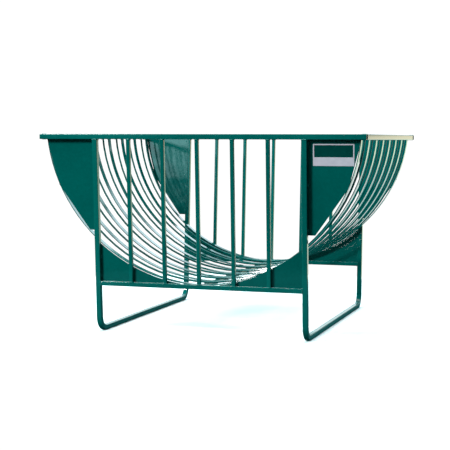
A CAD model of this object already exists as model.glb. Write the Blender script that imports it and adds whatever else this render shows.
import math
import bmesh
import bpy
import random
from collections import defaultdict
from mathutils import Matrix, Vector


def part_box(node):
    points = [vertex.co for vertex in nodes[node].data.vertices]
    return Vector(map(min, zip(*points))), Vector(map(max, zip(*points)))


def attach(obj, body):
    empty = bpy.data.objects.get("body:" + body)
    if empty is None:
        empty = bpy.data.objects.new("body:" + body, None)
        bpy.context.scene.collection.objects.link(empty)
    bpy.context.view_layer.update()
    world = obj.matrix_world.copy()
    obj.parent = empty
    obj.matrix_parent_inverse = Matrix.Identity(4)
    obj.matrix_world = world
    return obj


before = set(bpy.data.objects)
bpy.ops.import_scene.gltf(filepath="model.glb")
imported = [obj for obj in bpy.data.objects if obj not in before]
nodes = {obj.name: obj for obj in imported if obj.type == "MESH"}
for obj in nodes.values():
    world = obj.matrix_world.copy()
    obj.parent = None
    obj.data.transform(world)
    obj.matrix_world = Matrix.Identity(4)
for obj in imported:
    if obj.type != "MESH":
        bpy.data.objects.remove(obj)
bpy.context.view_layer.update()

scene = bpy.context.scene
rng = random.Random(7)

SHEET = 0.003  # thickness of the panels
FLAT_WIDTH = 0.050
ROD_DIAMETER = 0.016


# ---- shading of the CAD meshes --------------------------------------------------------
SAME_POINT = 20000  # grid steps per metre: corners in one cell count as one point


def smooth_normals(obj, limit_degrees=34):
    """Shades neighbouring facets of a bend or a rounded corner as one surface."""
    mesh = obj.data
    limit = math.cos(math.radians(limit_degrees))
    corners = defaultdict(list)
    for poly in mesh.polygons:
        for v in poly.vertices:
            key = tuple(round(c * SAME_POINT) for c in mesh.vertices[v].co)
            corners[key].append((poly.normal.copy(), poly.area))
    normals = []
    for poly in mesh.polygons:
        for v in poly.vertices:
            key = tuple(round(c * SAME_POINT) for c in mesh.vertices[v].co)
            total = Vector((0, 0, 0))
            for normal, area in corners[key]:
                if normal.dot(poly.normal) > limit:
                    total += normal * area
            normals.append(total.normalized())
    for poly in mesh.polygons:
        poly.use_smooth = True
    mesh.normals_split_custom_set(normals)


# ---- materials ------------------------------------------------------------------------
NOISE_LOW, NOISE_HIGH = 0.3, 0.7  # nearly all noise values lie between these


class Graph:
    """Short calls for building one node tree."""

    def __init__(self, tree):
        self.tree = tree

    def add(self, kind, **values):
        node = self.tree.nodes.new(kind)
        for key, value in values.items():
            setattr(node, key, value)
        return node

    def link(self, source, target):
        self.tree.links.new(source, target)

    def ramp(self, source, stops):
        node = self.add("ShaderNodeValToRGB")
        elements = node.color_ramp.elements
        while len(elements) < len(stops):
            elements.new(0.5)
        for element, (place, colour) in zip(elements, stops):
            element.position = place
            element.color = (*colour, 1)
        self.link(source, node.inputs["Fac"])
        return node.outputs["Color"]

    def mix(self, factor, a, b, blend="MIX"):
        node = self.add("ShaderNodeMix", data_type="RGBA", blend_type=blend)
        for socket, value in ((node.inputs[0], factor), (node.inputs[6], a), (node.inputs[7], b)):
            if isinstance(value, (int, float)):
                socket.default_value = value
            elif isinstance(value, tuple):
                socket.default_value = (*value, 1)
            else:
                self.link(value, socket)
        return node.outputs[2]


class Nodes(Graph):
    """Short calls for building one node material."""

    def __init__(self, name):
        self.material = bpy.data.materials.new(name)
        self.material.use_nodes = True
        super().__init__(self.material.node_tree)
        self.shader = self.tree.nodes["Principled BSDF"]
        self.coords = self.add("ShaderNodeTexCoord").outputs["Object"]

    def noise(self, scale, detail=3.0, roughness=0.5):
        node = self.add("ShaderNodeTexNoise")
        node.inputs["Scale"].default_value = scale
        node.inputs["Detail"].default_value = detail
        node.inputs["Roughness"].default_value = roughness
        self.link(self.coords, node.inputs["Vector"])
        return node.outputs["Fac"]

    def span(self, source, low, high):
        """Stretches a noise over the values from low to high."""
        node = self.add("ShaderNodeMapRange")
        node.inputs["From Min"].default_value = NOISE_LOW
        node.inputs["From Max"].default_value = NOISE_HIGH
        node.inputs["To Min"].default_value = low
        node.inputs["To Max"].default_value = high
        self.link(source, node.inputs["Value"])
        return node.outputs["Result"]

    def math(self, operation, a, b):
        node = self.add("ShaderNodeMath", operation=operation)
        for socket, value in zip(node.inputs, (a, b)):
            if isinstance(value, (int, float)):
                socket.default_value = value
            else:
                self.link(value, socket)
        return node.outputs["Value"]

    def bump(self, height, strength, distance, below=None):
        node = self.add("ShaderNodeBump")
        node.inputs["Strength"].default_value = strength
        node.inputs["Distance"].default_value = distance
        self.link(height, node.inputs["Height"])
        if below is not None:
            self.link(below, node.inputs["Normal"])
        return node.outputs["Normal"]

    def put(self, **values):
        for key, value in values.items():
            socket = self.shader.inputs[key.replace("_", " ")]
            if isinstance(value, (int, float, tuple)):
                socket.default_value = value
            else:
                self.link(value, socket)


DEEP = (0.0, 0.085, 0.076)
MID = (0.0, 0.101, 0.090)
FRESH = (0.002, 0.116, 0.103)


def paint(name, base=MID, deep=DEEP, fresh=FRESH, wave=0.0, rough=(0.06, 0.12)):
    """Glossy enamel: slight tone drift, orange peel, drifting sheen; wave dents a sheet."""
    n = Nodes(name)
    drift = n.noise(1.7, 4.0, 0.55)
    colour = n.ramp(drift, [(0.30, deep), (0.52, base), (0.74, fresh)])
    fine = n.noise(46.0, 5.0, 0.6)
    speck = n.ramp(fine, [(0.35, (0.93, 0.93, 0.93)), (0.65, (1.05, 1.05, 1.05))])
    colour = n.mix(1.0, colour, speck, "MULTIPLY")
    n.put(Base_Color=colour, Roughness=n.span(n.noise(9.0, 4.0, 0.6), *rough))
    n.put(Metallic=0.0, IOR=1.5, Specular_IOR_Level=0.5)
    normal = n.bump(n.noise(420.0, 2.0, 0.5), 0.05, 0.0006)
    if wave:
        normal = n.bump(n.noise(5.0, 2.0, 0.4), wave, 0.02, normal)
    n.put(Normal=normal)
    return n.material


tube_paint = paint("enamel_tube")
sheet_paint = paint(
    "enamel_sheet",
    base=(0.0, 0.080, 0.072),
    deep=(0.0, 0.071, 0.063),
    fresh=(0.0, 0.092, 0.082),
    wave=0.10,
)
bar_paint = paint("enamel_bar", base=(0.0, 0.092, 0.082), rough=(0.08, 0.14))
weld_paint = paint(
    "enamel_weld",
    base=(0.01, 0.16, 0.145),
    deep=MID,
    fresh=(0.02, 0.20, 0.18),
    rough=(0.2, 0.34),
)

for name, obj in nodes.items():
    smooth_normals(obj)
    if name.startswith(("upper_panel", "lower_panel")):
        chosen = sheet_paint
    elif name.startswith("cradle"):
        chosen = bar_paint
    else:
        chosen = tube_paint
    obj.data.materials.clear()
    obj.data.materials.append(chosen)


PLATE_BORDER = 0.008
BAND_SHARE = 0.395  # of the plate's height, taken by the pale lower band


def plate_material():
    """A blank printed plate: pale border and lower band round a dark green field."""
    low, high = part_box("label_plate")
    n = Nodes("label_print")
    split = n.add("ShaderNodeSeparateXYZ")
    n.link(n.coords, split.inputs["Vector"])
    across, up = split.outputs["X"], split.outputs["Z"]
    field_low = low.z + (high.z - low.z) * BAND_SHARE
    inside = n.math("GREATER_THAN", across, low.x + PLATE_BORDER)
    for side in (
        n.math("LESS_THAN", across, high.x - PLATE_BORDER),
        n.math("GREATER_THAN", up, field_low),
        n.math("LESS_THAN", up, high.z - PLATE_BORDER),
    ):
        inside = n.math("MULTIPLY", inside, side)
    pale = n.ramp(n.noise(30.0, 3.0), [(0.3, (0.60, 0.46, 0.54)), (0.7, (0.67, 0.51, 0.59))])
    dark = n.ramp(n.noise(24.0, 3.0), [(0.3, (0.0, 0.040, 0.035)), (0.7, (0.0, 0.047, 0.041))])
    n.put(Base_Color=n.mix(inside, pale, dark), Roughness=n.span(n.noise(20.0), 0.12, 0.2))
    n.put(Normal=n.bump(n.noise(300.0, 2.0), 0.04, 0.0004))
    return n.material


nodes["label_plate"].data.materials.clear()
nodes["label_plate"].data.materials.append(plate_material())


# ---- weld beads -----------------------------------------------------------------------
THIN_BEAD, BEAD, STRIP_BEAD, LEG_BEAD, LEG_TACK = 0.003, 0.0034, 0.0036, 0.0038, 0.0050
RIPPLE_STEP = 0.0022  # between the rings that a bead is made of
RIPPLE_TURN = 1.9
RIPPLE_SHARE = 0.16
RING_SIDES = 8
SET_BACK = 0.0008  # of a bead's centre from the end of its tube


class Beads:
    """Lumpy painted weld beads gathered into one piece."""

    def __init__(self, name):
        self.name = name
        self.shape = bmesh.new()

    def run(self, start, end, radius=BEAD):
        """One bead from start to end: rippled rings with rounded ends."""
        start, end = Vector(start), Vector(end)
        span = end - start
        along = span.normalized()
        side = along.orthogonal().normalized()
        up = along.cross(side)
        rings = max(5, int(span.length / RIPPLE_STEP))
        previous = None
        for i in range(rings + 1):
            t = i / rings
            swell = radius * (0.9 + 0.2 * rng.random())
            swell *= 1.0 + RIPPLE_SHARE * math.sin(i * RIPPLE_TURN)
            edge = min(t, 1 - t) * span.length / radius
            swell *= min(1.0, 0.35 + 0.5 * edge)
            centre = start + span * t
            centre += (side * rng.uniform(-1, 1) + up * rng.uniform(-1, 1)) * radius * 0.12
            ring = []
            for k in range(RING_SIDES):
                angle = k * 2 * math.pi / RING_SIDES
                offset = side * math.cos(angle) + up * math.sin(angle)
                ring.append(self.shape.verts.new(centre + offset * swell))
            if previous:
                for k in range(RING_SIDES):
                    m = (k + 1) % RING_SIDES
                    self.shape.faces.new((previous[k], previous[m], ring[m], ring[k]))
            else:
                self.shape.faces.new(tuple(reversed(ring)))
            previous = ring
        self.shape.faces.new(tuple(previous))

    def loop(self, corners, radius=BEAD):
        for first, second in zip(corners, corners[1:] + corners[:1]):
            self.run(first, second, radius)

    def finish(self):
        mesh = bpy.data.meshes.new(self.name)
        bmesh.ops.recalc_face_normals(self.shape, faces=self.shape.faces)
        self.shape.to_mesh(mesh)
        self.shape.free()
        mesh.polygons.foreach_set("use_smooth", [True] * len(mesh.polygons))
        mesh.materials.append(weld_paint)
        piece = bpy.data.objects.new(self.name, mesh)
        scene.collection.objects.link(piece)
        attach(piece, "root")


def sides():
    return (("front", -1), ("rear", 1))


def ring_at(x0, x1, y0, y1, z):
    return [(x0, y0, z), (x1, y0, z), (x1, y1, z), (x0, y1, z)]


def ring_facing_x(x, low, high):
    return [(x, low.y, low.z), (x, high.y, low.z), (x, high.y, high.z), (x, low.y, high.z)]


def ring_facing_y(y, low, high):
    return [(low.x, y, low.z), (high.x, y, low.z), (high.x, y, high.z), (low.x, y, high.z)]


def upright_ends(low, high, side, depth):
    """Y range of a leaning upright at its top and at its foot."""
    if side < 0:
        return (low.y, low.y + depth), (high.y - depth, high.y)
    return (high.y - depth, high.y), (low.y, low.y + depth)


def weld_frame():
    """Beads round the ends of the bars, lower rails, legs and end rails."""
    beads = Beads("weld_frame")
    for across, side in sides():
        for i in range(1, 6):
            low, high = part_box(f"{across}_bar_{i}")
            top, foot = upright_ends(low, high, side, high.x - low.x)
            beads.loop(ring_at(low.x, high.x, *top, high.z - SET_BACK))
            beads.loop(ring_at(low.x, high.x, *foot, low.z + SET_BACK))
        low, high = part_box(f"lower_rail_{across}")
        for x in (low.x, high.x):
            beads.loop(ring_facing_x(x, low, high))
    for along in ("left", "right"):
        low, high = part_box(f"leg_hoop_{along}")
        width = high.x - low.x
        for y0, y1 in ((low.y, low.y + width), (high.y - width, high.y)):
            beads.loop(ring_at(low.x, high.x, y0, y1, high.z - SET_BACK), LEG_BEAD)
        low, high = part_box(f"top_end_rail_{along}")
        for y in (low.y, high.y):
            beads.loop(ring_facing_y(y, low, high), THIN_BEAD)
    beads.finish()


def weld_cradle():
    """Beads where the flats and rods meet the end rails and the cross bearer."""
    beads = Beads("weld_cradle")
    rail_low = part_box("top_end_rail_right")[0]
    bearer_low, bearer_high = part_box("cross_bearer")
    rail_gap = 0.0012
    inset = 0.002
    # The last value is the piece's place across the rack: below 0 leans to the front.
    pieces = [(f"cradle_flat_{i}", FLAT_WIDTH, i - 4.5) for i in range(1, 9)]
    pieces += [(f"cradle_rod_{i}", ROD_DIAMETER, i - 4) for i in range(1, 8)]
    for name, width, place in pieces:
        low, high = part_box(name)
        if place < 0:
            top, foot = (low.y, low.y + width), (high.y - width, high.y)
        elif place > 0:
            top, foot = (high.y - width, high.y), (low.y, low.y + width)
        else:
            top = foot = (low.y, high.y)
        for end in (-1, 1):
            x = end * (rail_low.x - rail_gap)
            beads.run((x, top[0] + inset, rail_low.z), (x, top[1] - inset, rail_low.z), STRIP_BEAD)
        for x in (bearer_low.x, bearer_high.x):
            beads.run((x, foot[0], bearer_high.z), (x, foot[1], bearer_high.z), THIN_BEAD)
    for y in (bearer_low.y, bearer_high.y):
        beads.loop(ring_facing_y(y, bearer_low, bearer_high), THIN_BEAD)
    beads.finish()


LEG_TACK_HEIGHTS = (1.402, 1.107, 0.791)
RAIL_TACK_PLACES = (0.86, 0.98, 1.10)
FOOT_TACK_PLACES = (0.46, 0.58, 0.70)
SIDE_TACK_HEIGHTS = (0.42, 0.56)
LEG_TACK_HALF, RAIL_TACK_HALF, LOWER_TACK_HALF = 0.0125, 0.014, 0.012


def weld_panels():
    """Short tacks that hold the panels to the legs, top rails and lower rails."""
    beads = Beads("weld_panels")
    rail_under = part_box("top_rail_front")[0].z
    leg_half = (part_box("leg_hoop_left")[1].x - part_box("leg_hoop_left")[0].x) / 2
    for across, side in sides():
        for along, end in (("left", -1), ("right", 1)):
            low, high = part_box(f"upper_panel_{across}_{along}")
            lean = (high.y - low.y - SHEET) / (high.z - low.z)

            def face(z, box_low=low, box_high=high, slope=lean, out=side):
                outer = box_low.y if out < 0 else box_high.y
                return outer - out * slope * (box_high.z - z)

            leg_x = min(abs(low.x), abs(high.x)) + leg_half
            for z in LEG_TACK_HEIGHTS:
                beads.run((end * leg_x, face(z), z - LEG_TACK_HALF),
                          (end * leg_x, face(z), z + LEG_TACK_HALF), LEG_TACK)
            for x in RAIL_TACK_PLACES:
                y = face(rail_under)
                beads.run((end * (x - RAIL_TACK_HALF), y, rail_under),
                          (end * (x + RAIL_TACK_HALF), y, rail_under))
            low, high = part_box(f"lower_panel_{across}_{along}")
            outer_x = max(abs(low.x), abs(high.x))
            base_y = high.y - SHEET if side < 0 else low.y + SHEET
            for x in FOOT_TACK_PLACES:
                beads.run((end * (x - LOWER_TACK_HALF), base_y, low.z),
                          (end * (x + LOWER_TACK_HALF), base_y, low.z))
            for z in SIDE_TACK_HEIGHTS:
                y = base_y + side * lean * (z - low.z)
                beads.run((end * outer_x, y, z - LOWER_TACK_HALF),
                          (end * outer_x, y, z + LOWER_TACK_HALF))
    beads.finish()


weld_frame()
weld_cradle()
weld_panels()


# ---- camera, light and floor ----------------------------------------------------------
IMAGE_SIZE = 450.0
FOCAL_LENGTH = 1196.0  # in the unit that makes the image 450 wide
SHIFT = (-1.0, 0.7)  # in the same unit
SENSOR = 36.0
CAMERA_PLACE = (2.758, -9.079, 1.424)
YAW, PITCH, ROLL = 0.3058, 0.0720, 0.0024

# Light arriving at the rack, by the height of the direction it comes from: 0 is straight
# below, 0.5 the horizon, 1 straight above. SKY and BACK_GROUND lie behind the rack.
SKY = [
    (0.5, (0.20, 0.30, 0.30)), (0.555, (0.20, 0.30, 0.30)), (0.565, (1.35, 1.55, 1.6)),
    (0.585, (1.35, 1.55, 1.6)), (0.60, (0.15, 0.25, 0.25)), (0.63, (0.3, 0.45, 0.5)),
    (0.675, (2.9, 3.5, 3.8)), (0.8, (2.6, 3.4, 3.8)), (1.0, (1.0, 1.4, 1.6)),
]
BACK_GROUND = [
    (0.0, (0.5, 0.62, 0.62)), (0.38, (0.9, 1.1, 1.1)), (0.425, (1.2, 1.4, 1.3)),
    (0.46, (1.75, 2.1, 1.6)), (0.49, (1.5, 1.85, 1.3)), (0.498, (1.75, 1.6, 1.15)),
    (0.505, (1.75, 1.6, 1.1)),
]
FRONT_GROUND = (0.0, 0.012, 0.012)
FRONT_SKY_LEFT = (0.0, 1.1, 1.1)
FRONT_PATCH = (2.6, 4.6, 4.8)  # one small bright window low in the sky, left of centre
FRONT_SKY_RIGHT = (0.01, 0.12, 0.12)
BACKDROP = (1.06, 1.06, 1.06)

FLOOR_RADIUS = 3.2
FLOOR_DROP = 0.001
FLOOR_IN_REFLECTIONS = (0.01, 0.10, 0.10)


def build_camera():
    camera = bpy.data.cameras.new("camera")
    camera.sensor_width = SENSOR
    camera.lens = SENSOR * FOCAL_LENGTH / IMAGE_SIZE
    camera.shift_x = SHIFT[0] / IMAGE_SIZE
    camera.shift_y = SHIFT[1] / IMAGE_SIZE
    holder = bpy.data.objects.new("camera", camera)
    turn = (
        Matrix.Rotation(YAW, 4, "Z")
        @ Matrix.Rotation(math.pi / 2 - PITCH, 4, "X")
        @ Matrix.Rotation(ROLL, 4, "Z")
    )
    holder.matrix_world = Matrix.Translation(CAMERA_PLACE) @ turn
    scene.collection.objects.link(holder)
    scene.camera = holder


def area_light(name, place, target, size, power, colour):
    light = bpy.data.lights.new(name, "AREA")
    light.shape = "RECTANGLE"
    light.size, light.size_y = size
    light.energy = power
    light.color = colour
    holder = bpy.data.objects.new(name, light)
    aim = (Vector(target) - Vector(place)).to_track_quat("-Z", "Y")
    holder.matrix_world = Matrix.Translation(place) @ aim.to_matrix().to_4x4()
    scene.collection.objects.link(holder)


def build_world():
    """White to the camera; to the paint, a studio brighter behind the rack than in front."""
    world = bpy.data.worlds.new("studio")
    scene.world = world
    world.use_nodes = True
    g = Graph(world.node_tree)
    back = g.tree.nodes["Background"]
    split = g.add("ShaderNodeSeparateXYZ")
    g.link(g.add("ShaderNodeTexCoord").outputs["Generated"], split.inputs["Vector"])

    def ramp(axis, stops):
        """A ramp over one part of the direction, with -1 to 1 brought to 0 to 1."""
        span = g.add("ShaderNodeMapRange")
        span.inputs["From Min"].default_value = -1.0
        g.link(split.outputs[axis], span.inputs["Value"])
        return g.ramp(span.outputs["Result"], stops)

    def step(axis, start, end):
        return ramp(axis, [(start, (0, 0, 0)), (end, (1, 1, 1))])

    def window(axis, *edges):
        return ramp(axis, list(zip(edges, ((0, 0, 0), (1, 1, 1), (1, 1, 1), (0, 0, 0)))))

    behind = step("Y", 0.56, 0.72)
    patch = g.mix(window("Z", 0.534, 0.54, 0.565, 0.57), FRONT_SKY_LEFT, FRONT_PATCH)
    left = g.mix(window("X", 0.29, 0.30, 0.35, 0.36), FRONT_SKY_LEFT, patch)
    front_sky = g.mix(step("X", 0.36, 0.6), left, FRONT_SKY_RIGHT)
    sky = g.mix(behind, front_sky, ramp("Z", SKY))
    ground = g.mix(behind, FRONT_GROUND, ramp("Z", BACK_GROUND))
    above = g.mix(behind, step("Z", 0.521, 0.527), step("Z", 0.503, 0.51))
    lit = g.mix(above, ground, sky)
    seen = g.mix(g.add("ShaderNodeLightPath").outputs["Is Camera Ray"], lit, BACKDROP)
    g.link(seen, back.inputs["Color"])
    back.inputs["Strength"].default_value = 1.0


def build_floor():
    """A pale disc to the camera, but a dark one in the paint's reflections."""
    mesh = bpy.data.meshes.new("floor")
    shape = bmesh.new()
    bmesh.ops.create_circle(shape, cap_ends=True, segments=96, radius=FLOOR_RADIUS)
    bmesh.ops.translate(shape, verts=shape.verts, vec=(0, 0, -FLOOR_DROP))
    shape.to_mesh(mesh)
    shape.free()
    floor = bpy.data.objects.new("floor", mesh)
    scene.collection.objects.link(floor)
    n = Nodes("floor_pale")
    tone = n.ramp(n.noise(1.2, 2.0), [(0.3, (0.93, 0.93, 0.93)), (0.7, (0.96, 0.96, 0.96))])
    path = n.add("ShaderNodeLightPath")
    tone = n.mix(path.outputs["Is Camera Ray"], FLOOR_IN_REFLECTIONS, tone)
    n.put(Base_Color=tone, Roughness=0.9, Specular_IOR_Level=0.1)
    mesh.materials.append(n.material)


build_camera()
build_world()
area_light(
    "key",
    place=(-5.66, -8.72, 6.8),
    target=(0, 0, 0.8),
    size=(2.2, 2.2),
    power=1450,
    colour=(1.0, 0.99, 0.97),
)
area_light(
    "top",
    place=(0.0, 0.5, 8.0),
    target=(0, 0, 0),
    size=(6.0, 5.0),
    power=460,
    colour=(1.0, 0.84, 0.80),
)
build_floor()
scene.view_settings.view_transform = "Standard"
